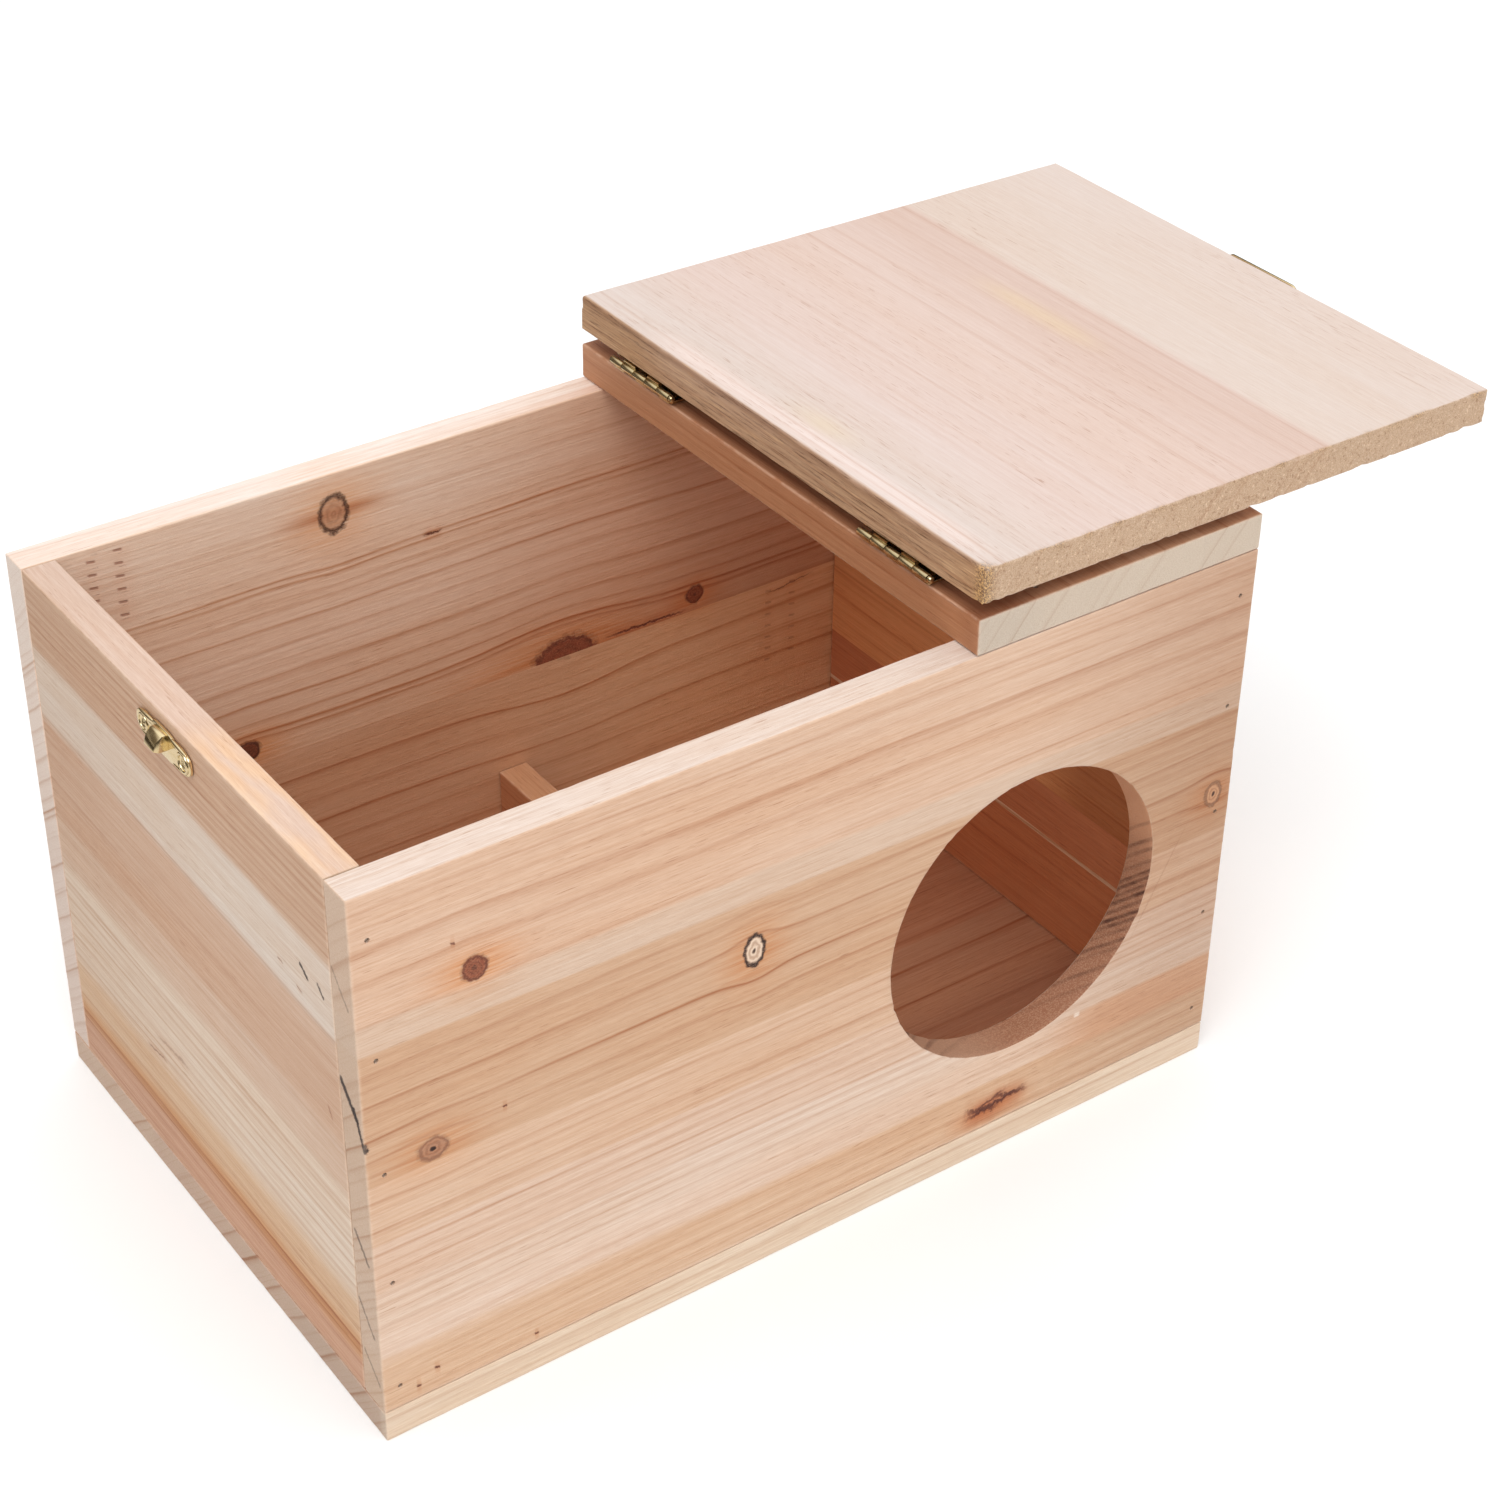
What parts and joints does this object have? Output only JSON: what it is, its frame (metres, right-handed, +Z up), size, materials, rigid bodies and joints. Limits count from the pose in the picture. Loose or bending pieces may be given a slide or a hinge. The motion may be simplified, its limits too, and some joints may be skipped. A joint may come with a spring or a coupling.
{
  "type": "nesting box",
  "caption": "Wooden nesting box with a round entrance, a low inner partition, a fixed roof board and a hinged lid shown folded open, closed by a brass hasp.",
  "frame": {"origin": "centre of the floor board's underside, at rest on the ground", "axes": "+X runs along the front wall from the latch end to the roof end, +Y from the front wall to the back wall, +Z up"},
  "size_m": [0.3985, 0.2006, 0.2148],
  "materials": {
    "pine": "sawn and lightly sanded softwood, no coating",
    "pale_pine": "planed pale softwood, no coating",
    "brass": "bright brass plate",
    "steel": "plain steel brads"
  },
  "bodies": {
    "box": {"floor_board": "pine", "front_wall": "pine", "back_wall": "pine", "left_end_wall": "pine", "right_end_wall": "pine", "partition": "pine", "fixed_roof_board": "pine", "front_hinge_fixed_leaf": "brass", "front_hinge_pin": "brass", "front_hinge_fixed_screw_1": "brass", "front_hinge_fixed_screw_2": "brass", "back_hinge_fixed_leaf": "brass", "back_hinge_pin": "brass", "back_hinge_fixed_screw_1": "brass", "back_hinge_fixed_screw_2": "brass", "catch_plate": "brass", "catch_screw_1": "brass", "catch_screw_2": "brass", "front_left_brad_1": "steel", "front_left_brad_2": "steel", "front_left_brad_3": "steel", "front_left_brad_4": "steel", "front_left_brad_5": "steel", "front_right_brad_1": "steel", "front_right_brad_2": "steel", "front_right_brad_3": "steel", "front_right_brad_4": "steel", "front_right_brad_5": "steel", "back_left_brad_1": "steel", "back_left_brad_2": "steel", "back_left_brad_3": "steel", "back_left_brad_4": "steel", "back_right_brad_1": "steel", "back_right_brad_2": "steel", "back_right_brad_3": "steel", "back_right_brad_4": "steel", "roof_front_brad_1": "steel", "roof_front_brad_2": "steel", "floor_front_brad_1": "steel", "floor_front_brad_2": "steel", "roof_back_brad_1": "steel", "roof_back_brad_2": "steel", "floor_back_brad_1": "steel", "floor_back_brad_2": "steel", "partition_brad_1": "steel", "partition_brad_2": "steel"},
    "lid": {"lid": "pale_pine", "front_hinge_lid_leaf": "brass", "front_hinge_lid_screw_1": "brass", "front_hinge_lid_screw_2": "brass", "back_hinge_lid_leaf": "brass", "back_hinge_lid_screw_1": "brass", "back_hinge_lid_screw_2": "brass", "hasp_plate": "brass", "hasp_screw_1": "brass", "hasp_screw_2": "brass", "hasp_pin": "brass"},
    "tongue": {"hasp_tongue": "brass"}
  },
  "joints": [
    {"name": "lid_hinge", "type": "hinge", "parent": "box", "child": "lid", "pos_m": [0.0455, 0, 0.20105], "axis": [0, -1, 0], "range_deg": [0, 180.5]},
    {"name": "hasp_hinge", "type": "hinge", "parent": "lid", "child": "tongue", "pos_m": [0.24128, -0.002, 0.20969], "axis": [0, -1, 0], "range_deg": [0, 176]}
  ]
}
